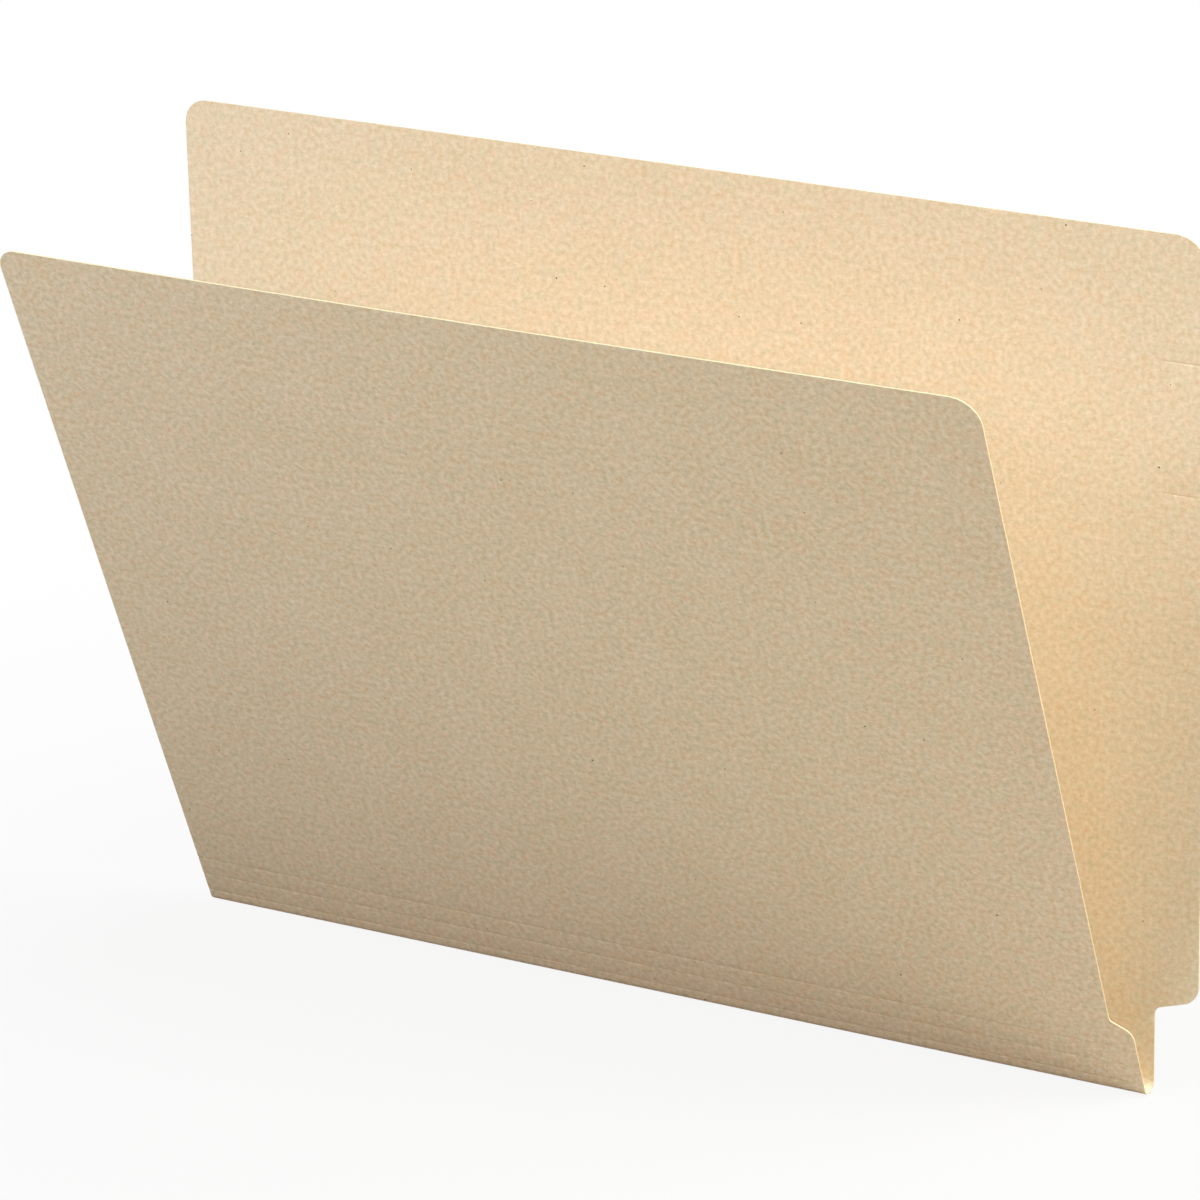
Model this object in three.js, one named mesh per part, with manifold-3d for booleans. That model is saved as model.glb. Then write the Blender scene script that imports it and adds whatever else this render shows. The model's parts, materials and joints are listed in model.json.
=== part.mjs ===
// A straight-cut end-tab file folder of manila card, half open and standing on its fold.
// One die-cut sheet: a back panel with a full-height tab at its right end, a shorter front
// panel, and between them a rounded main fold and three pressed score lines, which let the
// base open out. Each flat of card between two fold lines is a solid of its own.
// Millimetres. X runs along the fold to the tab, Y from the front panel to the back, Z up.

import * as THREE from 'three';
import { mergeVertices } from 'three/addons/utils/BufferGeometryUtils.js';
import Module from 'manifold-3d';

// Sheet
const overallWidth = 311.15;   // left edge to the tab's outer edge, 12 1/4 in
const panelHeight = 241.3;     // card from the main fold to each top edge, 9 1/2 in
const stock = 0.36;            // thickness of 14 point card

// End tab, which stands out past the foot of the folder
const tabReach = 12.7;         // tab's outer edge past the foot's edge, 1/2 in
const tabStart = 22.9;         // card from the main fold to the tab, along the foot's edge
const tabRise = 5.3;           // how much higher the tab's lower edge ends at its outside
const tabFillet = 2.5;         // inside corner between the foot and the tab
const tabHeelRadius = 6;       // tab's lower outside corner
const tabTopRadius = 9;        // tab's upper outside corner
const backTopRadius = 7;       // back panel's upper left corner

// Front panel, cut back so that the tab shows past it
const frontSetback = 6.35;     // panel's free edge inside the foot's edge, 1/4 in
const notchStart = 23.2;       // card from the main fold to the notch, along the foot's edge
const notchRise = 3.5;         // how much higher the notch ends at the free edge
const notchRadius = 4;         // rounded shoulder of the foot
const notchFillet = 1;         // inside corner of the notch
const frontTopRightRadius = 8;
const frontTopLeftRadius = 4;

// Fold lines
const bendRadius = 3;          // middle of the card in the rounded main fold
const scorePitch = 6.35;       // main fold to first score, and each score to the next, 1/4 in
const scoreCount = 3;          // for an expansion of 3/4 in
const scoreDepth = 0.12;       // how far a score is pressed into the outer face
const scoreWidth = 0.9;        // whole width of a pressed score
const foldGap = 0.3;           // clearance left between two solids along a fold line
const openAngle = 22;          // degrees between the two panels

const footEdge = overallWidth - tabReach;
const frontEdge = footEdge - frontSetback;
const halfTurn = THREE.MathUtils.degToRad(180 - openAngle) / 2;
const bendCard = bendRadius * halfTurn;
const uprightTurn = Math.PI / 2;
const bendSteps = 12;          // facets round half of the bend
const cornerSteps = 12;        // facets round a corner of the card
const insideColour = 0xe2cba4;
const outsideColour = 0xcfbb99;

const wasm = await Module();
wasm.setup();

function solidFrom(geometry) {
  geometry.deleteAttribute('normal');
  geometry.deleteAttribute('uv');
  const merged = mergeVertices(geometry, 1e-5);
  return new wasm.Manifold(new wasm.Mesh({
    numProp: 3,
    vertProperties: new Float32Array(merged.attributes.position.array),
    triVerts: new Uint32Array(merged.index.array),
  }));
}

function geometryFrom(solid) {
  const mesh = solid.getMesh();
  const geometry = new THREE.BufferGeometry();
  geometry.setAttribute('position', new THREE.BufferAttribute(mesh.vertProperties, 3));
  geometry.setIndex(new THREE.BufferAttribute(mesh.triVerts, 1));
  return geometry;
}

function extrude(shape, depth) {
  return new THREE.ExtrudeGeometry(shape, { depth, bevelEnabled: false, curveSegments: cornerSteps });
}

// An outline through corners given as [x, y, radius], in anticlockwise order.
function roundedOutline(corners) {
  const outline = new THREE.Shape();
  const points = corners.map(([x, y]) => new THREE.Vector2(x, y));
  corners.forEach(([, , radius], i) => {
    const corner = points[i];
    if (!radius) {
      if (i === 0) outline.moveTo(corner.x, corner.y);
      else outline.lineTo(corner.x, corner.y);
      return;
    }
    const back = points.at(i - 1).clone().sub(corner).normalize();
    const on = points[(i + 1) % points.length].clone().sub(corner).normalize();
    const half = Math.acos(back.dot(on)) / 2;
    const reach = radius / Math.tan(half);
    const middle = back.clone().add(on).normalize();
    const centre = corner.clone().addScaledVector(middle, radius / Math.sin(half));
    const start = corner.clone().addScaledVector(back, reach).sub(centre);
    const end = corner.clone().addScaledVector(on, reach).sub(centre);
    const clockwise = back.cross(on) > 0;
    outline.absarc(centre.x, centre.y, radius, start.angle(), end.angle(), clockwise);
  });
  outline.closePath();
  return outline;
}

// The section through one flat of card, seen along the fold: y runs up the card from its lower
// fold line to high, and the outer face is at x = outer * stock / 2. A bent flat starts with its
// half of the rounded main fold, which curls down and in from y = 0. Half of a pressed score
// bevels the outer face at the lower edge, and at the upper edge if scoredAbove is set.
function cardSection({ outer, high, bent = false, scoredAbove = false }) {
  const face = outer * stock / 2;
  const pressed = outer * (stock / 2 - scoreDepth);
  const scoreRun = (scoreWidth - foldGap) / 2;
  const above = scoredAbove
    ? [[face, high - scoreRun], [pressed, high], [-face, high]]
    : [[face, high], [-face, high]];
  const below = bent
    ? bentEnd(outer, scoreRun)
    : [[-face, foldGap / 2], [pressed, foldGap / 2], [face, foldGap / 2 + scoreRun]];
  return new THREE.Shape([...above, ...below].map(([x, y]) => new THREE.Vector2(x, y)));
}

// Round the inner face of the bend to the main fold, and back round its outer face.
function bentEnd(outer, scoreRun) {
  const onBend = (radius, turn) => [
    outer * (radius * Math.cos(turn) - bendRadius),
    -radius * Math.sin(turn),
  ];
  const end = halfTurn - foldGap / 2 / bendRadius;
  const outerEnd = end - scoreRun / bendRadius;
  const inside = [];
  const outside = [];
  for (let i = 0; i <= bendSteps; i += 1) {
    inside.push(onBend(bendRadius - stock / 2, end * i / bendSteps));
    outside.unshift(onBend(bendRadius + stock / 2, outerEnd * i / bendSteps));
  }
  return [...inside, onBend(bendRadius + stock / 2 - scoreDepth, end), ...outside];
}

// One flat of card: its section drawn out along the fold, then cut to an outline if it has one.
// Its frame has X along the fold, Y up the card and Z through it.
function card(name, colour, length, section, corners) {
  const drawn = extrude(cardSection(section), length);
  drawn.rotateY(Math.PI / 2);
  let solid = solidFrom(drawn);
  if (corners) {
    const reach = 2 * bendRadius + stock;
    const cutter = extrude(roundedOutline(corners), 2 * reach);
    cutter.translate(0, 0, -reach);
    solid = solid.intersect(solidFrom(cutter));
  }
  const material = new THREE.MeshStandardMaterial({ color: colour, roughness: 0.88, metalness: 0 });
  const mesh = new THREE.Mesh(geometryFrom(solid), material);
  mesh.name = name;
  return mesh;
}

// A frame in its parent's, moved up the card and through it, and turned about the fold.
function frameIn(parent, up, through, turn) {
  const frame = new THREE.Group();
  frame.position.set(0, up, through);
  frame.rotation.x = turn;
  parent.add(frame);
  return frame;
}

const folder = new THREE.Group();
const bendRise = bendRadius * Math.sin(halfTurn);
const bendDepth = bendRadius * (1 - Math.cos(halfTurn));
const belowBend = -2 * bendRadius;

// Back: from the main fold, round half of the bend and up the panel with the tab.
const backFold = frameIn(folder, 0, 0, uprightTurn - halfTurn);
const backFlat = frameIn(backFold, bendRise, bendDepth, halfTurn);
const backHigh = panelHeight - bendCard;
backFlat.add(card(
  'back_panel', insideColour, overallWidth, { outer: 1, high: backHigh, bent: true },
  [
    [0, belowBend],
    [footEdge, belowBend],
    [footEdge, tabStart - bendCard, tabFillet],
    [overallWidth, tabStart - bendCard + tabRise, tabHeelRadius],
    [overallWidth, backHigh, tabTopRadius],
    [0, backHigh, backTopRadius],
  ],
));

// Front: round the other half of the bend, and up the strips between the scores.
const openTurn = THREE.MathUtils.degToRad(openAngle);
const frontFold = frameIn(folder, 0, 0, uprightTurn + openTurn + halfTurn);
const firstFlat = frameIn(frontFold, bendRise, -bendDepth, -halfTurn);
const firstHigh = scorePitch - bendCard;
firstFlat.add(card(
  'score_strip_1', outsideColour, footEdge,
  { outer: -1, high: firstHigh - foldGap / 2, bent: true, scoredAbove: true },
));

let carrier = frameIn(firstFlat, firstHigh, 0, 0);
for (let i = 2; i <= scoreCount; i += 1) {
  carrier.add(card(
    `score_strip_${i}`, outsideColour, footEdge,
    { outer: -1, high: scorePitch - foldGap / 2, scoredAbove: true },
  ));
  carrier = frameIn(carrier, scorePitch, 0, 0);
}

// Front panel, above the last score.
const baseCard = scorePitch * scoreCount;
const frontHigh = panelHeight - baseCard;
carrier.add(card(
  'front_panel', outsideColour, footEdge, { outer: -1, high: frontHigh },
  [
    [0, 0],
    [footEdge, 0],
    [footEdge, notchStart - baseCard, notchRadius],
    [frontEdge, notchStart - baseCard + notchRise, notchFillet],
    [frontEdge, frontHigh, frontTopRightRadius],
    [0, frontHigh, frontTopLeftRadius],
  ],
));

// The origin is under the middle of the folder, at the level that its fold stands on.
folder.updateMatrixWorld(true);
const extent = new THREE.Box3().setFromObject(folder, true);
const middle = extent.getCenter(new THREE.Vector3());
folder.position.set(-middle.x, -middle.y, -extent.min.z);

export default folder;
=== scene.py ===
"""A manila end tab file folder: one die-cut, scored and folded sheet of card, and its studio stage."""

import json
import math

import bpy
from bpy.props import FloatProperty, FloatVectorProperty, IntProperty, PointerProperty
from mathutils import Matrix, Vector


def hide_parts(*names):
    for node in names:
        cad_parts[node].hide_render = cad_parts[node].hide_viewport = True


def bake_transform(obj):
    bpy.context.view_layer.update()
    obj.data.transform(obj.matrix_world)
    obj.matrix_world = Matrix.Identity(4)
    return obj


bl_info = {
    "name": "End Tab File Folder",
    "version": (1, 0, 0),
    "blender": (4, 5, 0),
    "location": "3D View > Sidebar > File Folder",
    "description": "Cuts, scores and folds a manila end tab folder and sets its studio stage",
    "category": "Object",
}

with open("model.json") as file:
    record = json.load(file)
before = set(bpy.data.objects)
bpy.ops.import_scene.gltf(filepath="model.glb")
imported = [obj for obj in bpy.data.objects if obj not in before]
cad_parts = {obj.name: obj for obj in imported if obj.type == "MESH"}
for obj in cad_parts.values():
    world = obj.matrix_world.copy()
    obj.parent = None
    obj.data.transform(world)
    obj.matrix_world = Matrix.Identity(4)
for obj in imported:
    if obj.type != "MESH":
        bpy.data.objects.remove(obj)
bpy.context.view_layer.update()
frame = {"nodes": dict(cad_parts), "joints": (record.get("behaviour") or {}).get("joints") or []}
MAIN_FOLD = frame["joints"][0]
FOLD_LINE = Vector(MAIN_FOLD["pos_m"])
OPEN_ANGLE = -math.radians(MAIN_FOLD["range_deg"][0])
MM = 0.001

# Card from the main fold to each of the two marks on the tab, where labels are lined up
TAB_MARKS = (171.0 * MM, 207.0 * MM)

# Rows and columns of the sheet's mesh
BEND_ROWS = 32
SCORE_ROWS = 10
MARK_ROWS = 8
FOOT_ROWS = 6
PANEL_ROWS = 26
FRONT_COLUMNS = 36
SETBACK_COLUMNS = 4
TAB_COLUMNS = 12
CORNER_STEPS = 10
PAST_BEND = 0.4 * MM  # from the bend to the first row past it
FOOT_START = 3 * MM  # from the bend to the next row of the back's foot
FOOT_END = 30 * MM  # card from the main fold to where the rows are further apart
SAME_ROW = 0.01 * MM  # two rows this close are one

# Sizes of the board's patterns in millimetres, and how smooth its two sides are
BLOTCH_MM = 4.0
FLOC_MM = 1.6
FIBRE_MM = 0.5
CLOUD_MM = 20
SPECK_PITCH_MM = 30
SPECK_RADIUS_MM = 0.3
PLY_MM = 0.8
WIRE_SMOOTHNESS = 0.195
FELT_SMOOTHNESS = 0.24

# Stage: floor, then each softbox's side, place and the point that it is turned to
FLOOR_HALF = 5.0
FLOOR_DROP = 0.1 * MM
SOFTBOXES = {
    "overhead_softbox": (1.7, (0.7, -0.5, 2.6), (0, 0, 0.15)),
    "left_softbox": (0.6, (-0.4, -0.6, 0.7), (0, 0, 0.15)),
    "rear_softbox": (0.5, (0.7, 0.25, 0.75), (0, 0, 0.12)),
    "low_softbox": (0.5, (1.05, -0.2, 0.3), (0.1, 0, 0.1)),
}


def linear_from_hex(code):
    """A linear RGBA colour from an sRGB hex value such as dbbc90."""
    channels = [int(code[i : i + 2], 16) / 255 for i in (0, 2, 4)]
    return tuple(
        c / 12.92 if c <= 0.04045 else ((c + 0.055) / 1.055) ** 2.4 for c in channels
    ) + (1.0,)


def length(name, default_mm, description):
    """A length property, given in millimetres."""
    return FloatProperty(
        name=name,
        description=description,
        default=default_mm * MM,
        min=0.0,
        unit="LENGTH",
        precision=5,
    )


def colour(name, code, description):
    """A colour property, given as an sRGB hex value."""
    return FloatVectorProperty(
        name=name,
        description=description,
        default=linear_from_hex(code),
        size=4,
        min=0.0,
        max=1.0,
        subtype="COLOR",
    )


def power(name, watts, description):
    """A lamp's power property."""
    return FloatProperty(
        name=name, description=description, default=watts, min=0.0, unit="POWER"
    )


class FOLDER_PG_card(bpy.types.PropertyGroup):
    """Sizes of the die-cut sheet, measured along the card."""

    width: length("Width", 311.15, "Left edge to the tab's outer edge, 12 1/4 in")
    height: length("Panel Height", 241.3, "Main fold to each top edge, 9 1/2 in")
    stock: length("Stock", 0.36, "Thickness of 14 point card")
    edge_round: length("Edge Round", 0.05, "How far the cutting die rounds the card's edge")
    tab_reach: length("Tab Reach", 12.7, "Tab's outer edge past the foot's edge")
    tab_start: length("Tab Start", 25.0, "Main fold to the tab, along the foot's edge")
    tab_rise: length("Tab Rise", 4.0, "How much higher the tab's lower edge ends outside")
    tab_fillet: length("Tab Fillet", 2.5, "Inside corner between the foot and the tab")
    tab_heel_radius: length("Tab Heel Radius", 6.0, "Tab's lower outside corner")
    tab_top_radius: length("Tab Top Radius", 9.0, "Tab's upper outside corner")
    back_top_radius: length("Back Top Radius", 7.0, "Back panel's upper left corner")
    setback: length("Setback", 6.35, "Front panel's free edge inside the foot's edge")
    notch_start: length("Notch Start", 25.6, "Main fold to the notch, along the foot's edge")
    notch_rise: length("Notch Rise", 3.3, "How much higher the notch ends at the free edge")
    notch_radius: length("Notch Radius", 4.5, "Rounded shoulder of the foot")
    notch_fillet: length("Notch Fillet", 1.5, "Inside corner of the notch")
    front_right_radius: length("Front Right Radius", 8.0, "Front's corner at its free edge")
    front_left_radius: length("Front Left Radius", 6.5, "Front's upper left corner")
    bend_radius: length("Bend Radius", 3.0, "Middle of the card in the rounded main fold")
    score_pitch: length("Score Pitch", 6.35, "Main fold to first score, and between scores")
    score_depth: length("Score Depth", 0.08, "How far a score is pressed in")
    score_width: length("Score Width", 1.1, "Whole width of a pressed score")
    scores: IntProperty(name="Scores", description="Pressed score lines", default=3, min=0)
    front_bow: length("Front Bow", 0.7, "How far the front's upper corners curl in")
    back_bow: length("Back Bow", 0.5, "How far the back's upper corners curl in")
    mark_height: length("Mark Height", 0.12, "How far the tab's marks stand out")
    mark_width: length("Mark Width", 1.0, "Whole width of a mark")
    mark_fade: length("Mark Fade", 1.5, "Distance from the tab's sides where a mark fades out")


class FOLDER_PG_finish(bpy.types.PropertyGroup):
    """Colours of the manila card."""

    warm_pulp: colour("Warm Pulp", "dbbc90", "Redder of the two shades of pulp")
    cool_pulp: colour("Cool Pulp", "d1c098", "Greener of the two shades of pulp")
    pale_fibre: colour("Pale Fibre", "f0dec3", "Bleached fibres that lie on top of the pulp")
    speck: colour("Speck", "6b5436", "Bark specks in the pulp")
    cut_edge: colour("Cut Edge", "d6c49c", "Die-cut edge of the card")
    cut_shade: colour("Cut Shade", "c4ad83", "Torn fibres in the cut edge")


class FOLDER_PG_stage(bpy.types.PropertyGroup):
    """Camera, lamps and floor."""

    azimuth: FloatProperty(
        name="Azimuth",
        description="Camera's turn round the folder, to the right of its front",
        default=math.radians(30.134),
        subtype="ANGLE",
    )
    elevation: FloatProperty(
        name="Elevation",
        description="Camera's angle above the floor",
        default=math.radians(20.209),
        subtype="ANGLE",
    )
    roll: FloatProperty(
        name="Roll",
        description="Camera's turn about its line of sight",
        default=math.radians(-1.27),
        subtype="ANGLE",
    )
    distance: length("Distance", 1664.4, "Camera to the point it looks at")
    lens: FloatProperty(
        name="Lens", description="Focal length on a 36 mm sensor", default=182.6, unit="CAMERA"
    )
    aim: FloatVectorProperty(
        name="Aim",
        description="Point that the camera looks at",
        default=(-0.01996, 0.03703, 0.1169),
        subtype="TRANSLATION",
        unit="LENGTH",
    )
    overhead_power: power("Overhead", 76.0, "Softbox over the open top")
    overhead_colour: colour("Overhead Colour", "d2f1ff", "Cool daylight")
    left_power: power("Left", 6.3, "Softbox in front, to the left")
    left_colour: colour("Left Colour", "f5f4ff", "Cool white")
    rear_power: power("Rear", 10.0, "Softbox behind the tab, which shines between the panels")
    rear_colour: colour("Rear Colour", "fdfbff", "Plain white")
    low_power: power("Low", 5.3, "Softbox low down to the right, towards the foot")
    low_colour: colour("Low Colour", "ffddb8", "Warm white")
    ambient: FloatProperty(
        name="Ambient", description="Strength of the room's light", default=0.02, min=0.0
    )
    floor_colour: colour("Floor Colour", "ada79e", "Warm grey, which lights the card from below")


# Sheet: x runs along the fold from the left edge, and s along the card from the main fold,
# positive up the back panel and negative up the front panel.


def rounded_run(corners):
    """Points along an open run of (x, s, radius) corners, with each radius drawn as an arc."""
    run = []
    for i, (x, s, radius) in enumerate(corners):
        corner = Vector((x, s))
        if radius == 0:
            run.append(tuple(corner))
            continue
        back = (Vector(corners[i - 1][:2]) - corner).normalized()
        on = (Vector(corners[i + 1][:2]) - corner).normalized()
        half = back.angle(on) / 2
        centre = corner + (back + on).normalized() * radius / math.sin(half)
        start = corner + back * radius / math.tan(half) - centre
        turn = start.angle_signed(corner + on * radius / math.tan(half) - centre)
        for k in range(CORNER_STEPS + 1):
            run.append(tuple(centre + Matrix.Rotation(-turn * k / CORNER_STEPS, 2) @ start))
    return run


def side_edges(card):
    """Left and right edges of the whole sheet, from the front's top to the back's top."""
    high, foot = card.height, card.width - card.tab_reach
    front = foot - card.setback
    middle = card.width / 2
    left = rounded_run(
        [
            (middle, -high, 0),
            (0, -high, card.front_left_radius),
            (0, high, card.back_top_radius),
            (middle, high, 0),
        ]
    )
    right = rounded_run(
        [
            (middle, -high, 0),
            (front, -high, card.front_right_radius),
            (front, -card.notch_start - card.notch_rise, card.notch_fillet),
            (foot, -card.notch_start, card.notch_radius),
            (foot, card.tab_start, card.tab_fillet),
            (card.width, card.tab_start + card.tab_rise, card.tab_heel_radius),
            (card.width, high, card.tab_top_radius),
            (middle, high, 0),
        ]
    )
    return left[1:-1], right[1:-1]


def edge_at(edge, s):
    """Where an edge of the sheet is at s."""
    for (x0, s0), (x1, s1) in zip(edge, edge[1:]):
        if s <= s1:
            return x0 + (x1 - x0) * max(0.0, s - s0) / (s1 - s0) if s1 > s0 else x1
    return edge[-1][0]


def spread(start, end, count):
    """Evenly spread values from start to end, count steps apart."""
    return [start + (end - start) * i / count for i in range(count + 1)]


def row_places(card, left, right):
    """Every s at which the sheet has a row: its corners, fold, scores, marks and flats."""
    places = [s for _, s in left] + [s for _, s in right]
    bend = bend_card(card)
    places += spread(-bend, bend, BEND_ROWS)
    # Close rows past the bend keep its turned normals off the flats.
    places += [-bend - PAST_BEND, bend + PAST_BEND]
    places += spread(bend + FOOT_START, FOOT_END, FOOT_ROWS)
    half = card.score_width / 2
    for score in range(1, card.scores + 1):
        middle = -score * card.score_pitch
        places += spread(middle - half, middle + half, SCORE_ROWS)
    half = card.mark_width / 2
    for mark in TAB_MARKS:
        places += spread(mark - half, mark + half, MARK_ROWS)
    places += spread(-card.height, -FOOT_END, PANEL_ROWS)
    places += spread(FOOT_END, card.height, PANEL_ROWS)
    rows = []
    for s in sorted(places):
        if not rows or s - rows[-1] > SAME_ROW:
            rows.append(s)
    return rows


def column_places(card):
    """Every x at which the sheet has a column, closer together across the tab."""
    foot = card.width - card.tab_reach
    places = spread(0.0, foot - card.setback, FRONT_COLUMNS)
    places += spread(foot - card.setback, foot, SETBACK_COLUMNS)[1:]
    places += spread(foot, card.width, TAB_COLUMNS)[1:]
    return places


def bend_card(card):
    """Card from the main fold to the end of the rounded bend."""
    return card.bend_radius * (math.pi - OPEN_ANGLE) / 2


def along_card(card, s):
    """Place and outward direction of the middle of the card at s, as (y, z) pairs."""
    lean = OPEN_ANGLE / 2
    out = Vector((math.sin(lean), -math.cos(lean)))
    to_back = Vector((math.cos(lean), math.sin(lean)))
    fold = Vector((FOLD_LINE.y, FOLD_LINE.z)) - out * card.stock / 2
    bend = bend_card(card)
    turn = max(-bend, min(bend, s)) / card.bend_radius
    normal = out * math.cos(turn) + to_back * math.sin(turn)
    ahead = to_back * math.cos(turn) - out * math.sin(turn)
    centre = fold - out * card.bend_radius
    straight = s - max(-bend, min(bend, s))
    return centre + normal * card.bend_radius + ahead * straight, normal


def pressed(distance, width):
    """1 in the middle of a pressed line and 0 outside its width, with rounded sides."""
    if abs(distance) >= width / 2:
        return 0.0
    return (1 + math.cos(2 * math.pi * distance / width)) / 2


def score_share(card, s):
    """How deep in a score line the card is at s, from 0 to 1."""
    scores = range(1, card.scores + 1)
    return sum(pressed(s + i * card.score_pitch, card.score_width) for i in scores)


def relief(card, x, s):
    """How far the middle of the card stands out from its flat or bend."""
    across = 2 * x / card.width - 1
    bow = card.back_bow if s > 0 else card.front_bow
    height = -bow * across**2 * (s / card.height) ** 2
    height -= card.score_depth * score_share(card, s)
    foot = card.width - card.tab_reach
    if foot < x < card.width:
        fade = min(1.0, min(x - foot, card.width - x) / card.mark_fade)
        for mark in TAB_MARKS:
            height += card.mark_height * fade * pressed(s - mark, card.mark_width)
    return height


def sheet_mesh(card):
    """The sheet as one layer of faces along the middle of the card, facing outwards."""
    left, right = side_edges(card)
    columns = column_places(card)
    points, flat, grid = [], [], []
    for s in row_places(card, left, right):
        low, high = edge_at(left, s), edge_at(right, s)
        (y, z), normal = along_card(card, s)
        row, known = [], {}
        for column in columns:
            x = max(low, min(high, column))
            if x not in known:
                out = relief(card, x, s)
                known[x] = len(points)
                points.append((x - card.width / 2, y + normal.x * out, z + normal.y * out))
                flat.append((x, s))
            row.append(known[x])
        if columns[-1] > high and high not in known:
            raise RuntimeError(f"the sheet has no vertex on its right edge at {s}")
        grid.append(row)
    faces = []
    for lower, upper in zip(grid, grid[1:]):
        for i in range(len(columns) - 1):
            around = [lower[i], upper[i], upper[i + 1], lower[i + 1]]
            corners = [v for k, v in enumerate(around) if v != around[k - 1]]
            if len(set(corners)) > 2:
                faces.append(corners)
    mesh = bpy.data.meshes.new("manila_sheet")
    mesh.from_pydata(points, [], faces)
    mesh.validate()
    uv = mesh.uv_layers.new(name="Sheet")
    for loop in mesh.loops:
        uv.data[loop.index].uv = flat[loop.vertex_index]
    scored = mesh.attributes.new("Scored", "FLOAT", "POINT")
    scored.data.foreach_set("value", [score_share(card, s) for _, s in flat])
    mesh.shade_smooth()
    return mesh


# Materials


def add_node(tree, kind, inputs=None, **settings):
    """Adds a node with its settings, and sets or links its inputs."""
    node = tree.nodes.new(kind)
    for name, value in settings.items():
        setattr(node, name, value)
    for name, value in (inputs or {}).items():
        if isinstance(value, bpy.types.NodeSocket):
            tree.links.new(value, node.inputs[name])
        else:
            node.inputs[name].default_value = value
    return node


def new_material(name):
    """An empty node material and its tree."""
    material = bpy.data.materials.new(name)
    material.use_nodes = True
    material.node_tree.nodes.clear()
    return material, material.node_tree


def per_mm(size):
    """Scale of a texture laid out in metres, for a pattern of that size in millimetres."""
    return 1 / (size * MM)


def seen_directly(tree):
    """1 where a surface is seen by the camera, or in a reflection or through glass."""
    path = add_node(tree, "ShaderNodeLightPath").outputs
    mirrored = add_node(
        tree,
        "ShaderNodeMath",
        {0: path["Is Glossy Ray"], 1: path["Is Transmission Ray"]},
        operation="MAXIMUM",
    ).outputs[0]
    return add_node(
        tree, "ShaderNodeMath", {0: path["Is Camera Ray"], 1: mirrored}, operation="MAXIMUM"
    ).outputs[0]


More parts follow.
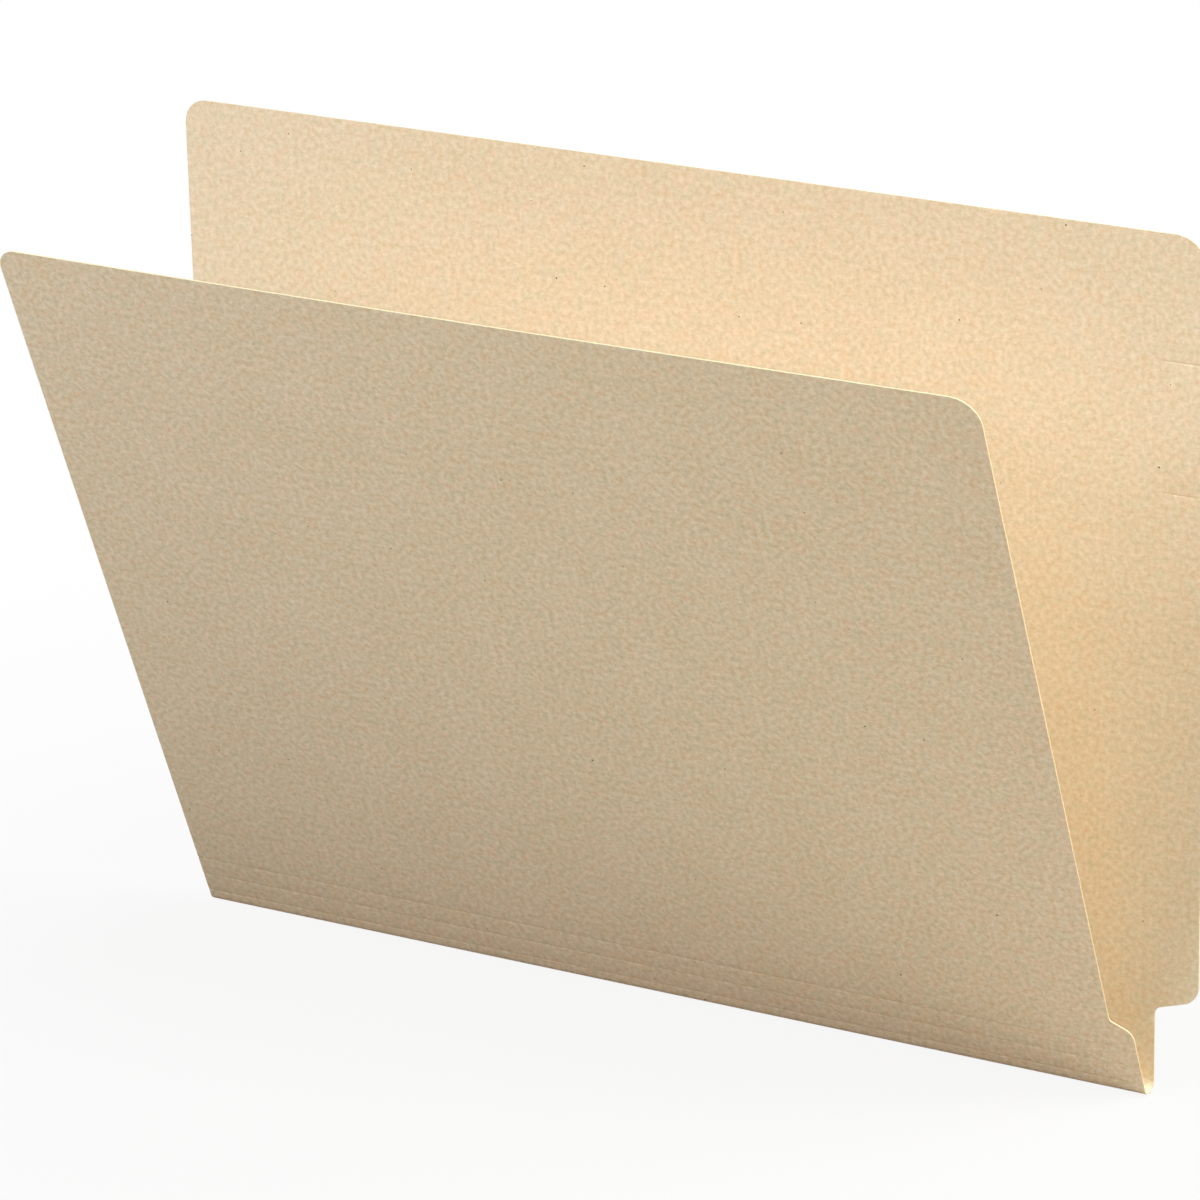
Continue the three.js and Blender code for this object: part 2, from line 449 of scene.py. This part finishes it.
def calendered_board(name, finish, smoothness):
    """Manila tag board, pressed smooth on the paper machine: matt, with a fine mottle where pale
    fibres lie over two shades of pulp, and a few bark specks. The pattern is fixed to the card,
    and is fainter the smoother the side is."""
    material, tree = new_material(name)
    sheet = add_node(tree, "ShaderNodeUVMap", uv_map="Sheet").outputs["UV"]
    # Two shades of pulp in blotches, which change over a narrower range than the fibres.
    blotch = add_node(
        tree, "ShaderNodeTexNoise", {"Vector": sheet, "Scale": per_mm(BLOTCH_MM), "Detail": 1.0}
    ).outputs["Fac"]
    spread_half = 0.75 * smoothness
    warmth = add_node(
        tree,
        "ShaderNodeMapRange",
        {"Value": blotch, "From Min": 0.5 - spread_half, "From Max": 0.5 + spread_half},
    ).outputs["Result"]
    pulp = add_node(
        tree,
        "ShaderNodeMix",
        {0: warmth, 6: finish.cool_pulp, 7: finish.warm_pulp},
        data_type="RGBA",
    ).outputs[2]
    # Flocs of tangled fibres over single fibres that run along the fold. Real fibres are
    # 0.03 mm wide, and these are drawn coarser so that they show.
    floc = add_node(
        tree,
        "ShaderNodeTexNoise",
        {"Vector": sheet, "Scale": per_mm(FLOC_MM), "Detail": 1.5, "Roughness": 0.6},
    ).outputs["Fac"]
    grain = add_node(
        tree, "ShaderNodeMapping", {"Vector": sheet, "Scale": (0.6, 1.0, 1.0)}
    ).outputs["Vector"]
    fibre = add_node(
        tree, "ShaderNodeTexNoise", {"Vector": grain, "Scale": per_mm(FIBRE_MM), "Detail": 2.0}
    ).outputs["Fac"]
    felt = add_node(tree, "ShaderNodeMix", {0: 0.3, 2: floc, 3: fibre}).outputs[0]
    pale_share = add_node(
        tree,
        "ShaderNodeMapRange",
        {"Value": felt, "From Min": 0.5 - smoothness, "From Max": 0.5 + smoothness},
    ).outputs["Result"]
    # Clouds, where the pulp settled thicker or thinner.
    cloud = add_node(
        tree, "ShaderNodeTexNoise", {"Vector": sheet, "Scale": per_mm(CLOUD_MM), "Detail": 2.0}
    ).outputs["Fac"]
    thickness = add_node(
        tree, "ShaderNodeMapRange", {"Value": cloud, "To Min": -0.12, "To Max": 0.12}
    ).outputs["Result"]
    cover = add_node(tree, "ShaderNodeMath", {0: pale_share, 1: thickness}).outputs[0]
    # Painted shade: the card is drawn a little darker along each pressed score, standing in for the
    # shade in its groove.
    scored = add_node(tree, "ShaderNodeAttribute", attribute_name="Scored").outputs["Fac"]
    cover_with_score_shade = add_node(
        tree, "ShaderNodeMath", {0: scored, 1: -0.15, 2: cover}, operation="MULTIPLY_ADD"
    ).outputs[0]
    felted = add_node(
        tree, "ShaderNodeMix", {0: cover_with_score_shade, 6: pulp, 7: finish.pale_fibre}, data_type="RGBA"
    ).outputs[2]
    # Bark specks of any size up to the largest, about one in each square of their pitch.
    bark = add_node(
        tree,
        "ShaderNodeTexVoronoi",
        {"Vector": sheet, "Scale": per_mm(SPECK_PITCH_MM)},
        voronoi_dimensions="2D",
    ).outputs
    bark_size = add_node(
        tree,
        "ShaderNodeMath",
        {0: bark["Color"], 1: SPECK_RADIUS_MM / SPECK_PITCH_MM},
        operation="MULTIPLY",
    ).outputs[0]
    in_bark = add_node(
        tree, "ShaderNodeMath", {0: bark["Distance"], 1: bark_size}, operation="LESS_THAN"
    ).outputs[0]
    specked = add_node(
        tree, "ShaderNodeMix", {0: in_bark, 6: felted, 7: finish.speck}, data_type="RGBA"
    ).outputs[2]
    bump = add_node(
        tree, "ShaderNodeBump", {"Height": felt, "Strength": 0.1, "Distance": 0.04 * MM}
    ).outputs["Normal"]
    roughness = add_node(
        tree,
        "ShaderNodeMapRange",
        {"Value": felt, "From Min": 0.3, "From Max": 0.7, "To Min": 0.9, "To Max": 0.76},
    ).outputs["Result"]
    shader = add_node(
        tree,
        "ShaderNodeBsdfPrincipled",
        {
            "Base Color": specked,
            "Roughness": roughness,
            "IOR": 1.5,
            "Specular IOR Level": 0.3,
            "Normal": bump,
        },
    ).outputs[0]
    add_node(tree, "ShaderNodeOutputMaterial", {"Surface": shader})
    return material


def die_cut_edge(name, finish):
    """The same board where the die cut it: rougher and faintly layered, with no gloss."""
    material, tree = new_material(name)
    place = add_node(tree, "ShaderNodeTexCoord").outputs["Object"]
    plies = add_node(
        tree,
        "ShaderNodeTexNoise",
        {"Vector": place, "Scale": per_mm(PLY_MM), "Detail": 3.0, "Roughness": 0.65},
    ).outputs["Fac"]
    fibre_share = add_node(
        tree,
        "ShaderNodeMapRange",
        {"Value": plies, "From Min": 0.35, "From Max": 0.65, "To Min": 0.25, "To Max": 0.0},
    ).outputs["Result"]
    torn = add_node(
        tree,
        "ShaderNodeMix",
        {0: fibre_share, 6: finish.cut_edge, 7: finish.cut_shade},
        data_type="RGBA",
    ).outputs[2]
    bump = add_node(
        tree, "ShaderNodeBump", {"Height": plies, "Strength": 0.4, "Distance": 0.05 * MM}
    ).outputs["Normal"]
    shader = add_node(
        tree,
        "ShaderNodeBsdfPrincipled",
        {
            "Base Color": torn,
            "Roughness": 0.92,
            "IOR": 1.5,
            "Specular IOR Level": 0.2,
            "Normal": bump,
        },
    ).outputs[0]
    add_node(tree, "ShaderNodeOutputMaterial", {"Surface": shader})
    return material


def matt_floor(name, tint):
    """Matt painted floor. Seen directly it is nearly white by itself, so that it keeps a faint
    shadow under the folder and fades to plain white away from it."""
    material, tree = new_material(name)
    paint = add_node(tree, "ShaderNodeBsdfDiffuse", {"Color": tint}).outputs[0]
    white = add_node(
        tree, "ShaderNodeEmission", {"Color": (1, 1, 1, 1), "Strength": 1.0}
    ).outputs[0]
    place = add_node(tree, "ShaderNodeTexCoord").outputs["Object"]
    away = add_node(
        tree, "ShaderNodeVectorMath", {0: place}, operation="LENGTH"
    ).outputs["Value"]
    plain = add_node(
        tree,
        "ShaderNodeMapRange",
        {"Value": away, "From Min": 0.1, "From Max": 0.5, "To Min": 0.89, "To Max": 1.0},
        interpolation_type="SMOOTHSTEP",
    ).outputs["Result"]
    share = add_node(
        tree, "ShaderNodeMath", {0: seen_directly(tree), 1: plain}, operation="MULTIPLY"
    ).outputs[0]
    surface = add_node(tree, "ShaderNodeMixShader", {0: share, 1: paint, 2: white}).outputs[0]
    add_node(tree, "ShaderNodeOutputMaterial", {"Surface": surface})
    return material


# Pieces


class FOLDER_OT_sheet(bpy.types.Operator):
    """Cut the sheet of card, press its scores and fold it at the main fold"""

    bl_idname = "folder.cut_sheet"
    bl_label = "Cut and Fold Sheet"

    def execute(self, context):
        card = context.scene.folder_card
        finish = context.scene.folder_finish
        sheet = bpy.data.objects.new("manila_sheet", sheet_mesh(card))
        context.scene.collection.objects.link(sheet)
        for material in (
            calendered_board("Calendered manila board, wire side", finish, WIRE_SMOOTHNESS),
            die_cut_edge("Die-cut edge of manila board", finish),
            calendered_board("Calendered manila board, felt side", finish, FELT_SMOOTHNESS),
        ):
            sheet.data.materials.append(material)
        board = sheet.modifiers.new("Board thickness", "SOLIDIFY")
        board.thickness = card.stock
        board.offset = 0.0
        board.material_offset_rim = 1
        board.material_offset = 2
        worn = sheet.modifiers.new("Die-rounded edges", "BEVEL")
        worn.width = card.edge_round
        worn.segments = 2
        worn.limit_method = "ANGLE"
        worn.angle_limit = math.radians(50)
        worn.harden_normals = True
        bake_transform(sheet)
        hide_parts(*frame["nodes"])
        return {"FINISHED"}


# Stage


def softbox(name, watts, tint):
    """A square area lamp at its place, turned to a point."""
    side, place, aim = SOFTBOXES[name]
    lamp = bpy.data.lights.new(name, "AREA")
    lamp.size = side
    lamp.energy = watts
    lamp.color = tint[:3]
    holder = bpy.data.objects.new(name, lamp)
    holder.location = place
    holder.rotation_euler = (Vector(aim) - Vector(place)).to_track_quat("-Z", "Y").to_euler()
    bpy.context.scene.collection.objects.link(holder)


def studio_camera(stage):
    """The camera, at the photograph's angle."""
    data = bpy.data.cameras.new("studio_camera")
    data.lens = stage.lens
    data.sensor_width = 36.0
    data.clip_start, data.clip_end = 0.05, 20.0
    camera = bpy.data.objects.new("studio_camera", data)
    turn, rise, roll = stage.azimuth, stage.elevation, stage.roll
    back = Vector(
        (math.sin(turn) * math.cos(rise), -math.cos(turn) * math.cos(rise), math.sin(rise))
    )
    level = Vector((math.cos(turn), math.sin(turn), 0.0))
    upright = back.cross(level)
    right = level * math.cos(roll) + upright * math.sin(roll)
    up = upright * math.cos(roll) - level * math.sin(roll)
    place = Matrix((right, up, back)).transposed().to_4x4()
    place.translation = Vector(stage.aim) + back * stage.distance
    camera.matrix_world = place
    bpy.context.scene.collection.objects.link(camera)
    return camera


def studio_world(stage):
    """Even room light, with white behind everything that is seen directly."""
    world = bpy.data.worlds.new("studio_room")
    world.use_nodes = True
    tree = world.node_tree
    tree.nodes.clear()
    room = add_node(
        tree, "ShaderNodeBackground", {"Color": (1, 1, 1, 1), "Strength": stage.ambient}
    ).outputs[0]
    white = add_node(
        tree, "ShaderNodeBackground", {"Color": (1, 1, 1, 1), "Strength": 1.0}
    ).outputs[0]
    light = add_node(
        tree, "ShaderNodeMixShader", {0: seen_directly(tree), 1: room, 2: white}
    ).outputs[0]
    add_node(tree, "ShaderNodeOutputWorld", {"Surface": light})
    return world


class FOLDER_OT_stage(bpy.types.Operator):
    """Set the floor, the soft lamps, the room light and the camera"""

    bl_idname = "folder.set_stage"
    bl_label = "Set Stage"

    def execute(self, context):
        stage = context.scene.folder_stage
        half = FLOOR_HALF
        mesh = bpy.data.meshes.new("studio_floor")
        corners = [(-half, -half), (half, -half), (half, half), (-half, half)]
        mesh.from_pydata([(x, y, -FLOOR_DROP) for x, y in corners], [], [(0, 1, 2, 3)])
        floor = bpy.data.objects.new("studio_floor", mesh)
        floor.data.materials.append(matt_floor("Matt painted floor", stage.floor_colour))
        context.scene.collection.objects.link(floor)
        softbox("overhead_softbox", stage.overhead_power, stage.overhead_colour)
        softbox("left_softbox", stage.left_power, stage.left_colour)
        softbox("rear_softbox", stage.rear_power, stage.rear_colour)
        softbox("low_softbox", stage.low_power, stage.low_colour)
        context.scene.world = studio_world(stage)
        context.scene.camera = studio_camera(stage)
        context.scene.view_settings.view_transform = "Standard"
        return {"FINISHED"}


class FOLDER_PT_panel(bpy.types.Panel):
    """Lists the folder's operators and settings in the 3D view's sidebar"""

    bl_idname = "FOLDER_PT_panel"
    bl_label = "End Tab File Folder"
    bl_space_type = "VIEW_3D"
    bl_region_type = "UI"
    bl_category = "File Folder"

    def draw(self, context):
        scene = context.scene
        for title, settings, operator in (
            ("Card", scene.folder_card, FOLDER_OT_sheet),
            ("Finish", scene.folder_finish, None),
            ("Stage", scene.folder_stage, FOLDER_OT_stage),
        ):
            box = self.layout.box()
            box.label(text=title)
            for name in settings.bl_rna.properties.keys():
                if name not in {"rna_type", "name"}:
                    box.prop(settings, name)
            if operator:
                box.operator(operator.bl_idname)


CLASSES = (
    FOLDER_PG_card,
    FOLDER_PG_finish,
    FOLDER_PG_stage,
    FOLDER_OT_sheet,
    FOLDER_OT_stage,
    FOLDER_PT_panel,
)


def register():
    for cls in CLASSES:
        bpy.utils.register_class(cls)
    bpy.types.Scene.folder_card = PointerProperty(type=FOLDER_PG_card)
    bpy.types.Scene.folder_finish = PointerProperty(type=FOLDER_PG_finish)
    bpy.types.Scene.folder_stage = PointerProperty(type=FOLDER_PG_stage)


def unregister():
    del bpy.types.Scene.folder_stage
    del bpy.types.Scene.folder_finish
    del bpy.types.Scene.folder_card
    for cls in reversed(CLASSES):
        bpy.utils.unregister_class(cls)


def main():
    register()
    bpy.ops.folder.cut_sheet()
    bpy.ops.folder.set_stage()


if __name__ == "__main__":
    main()
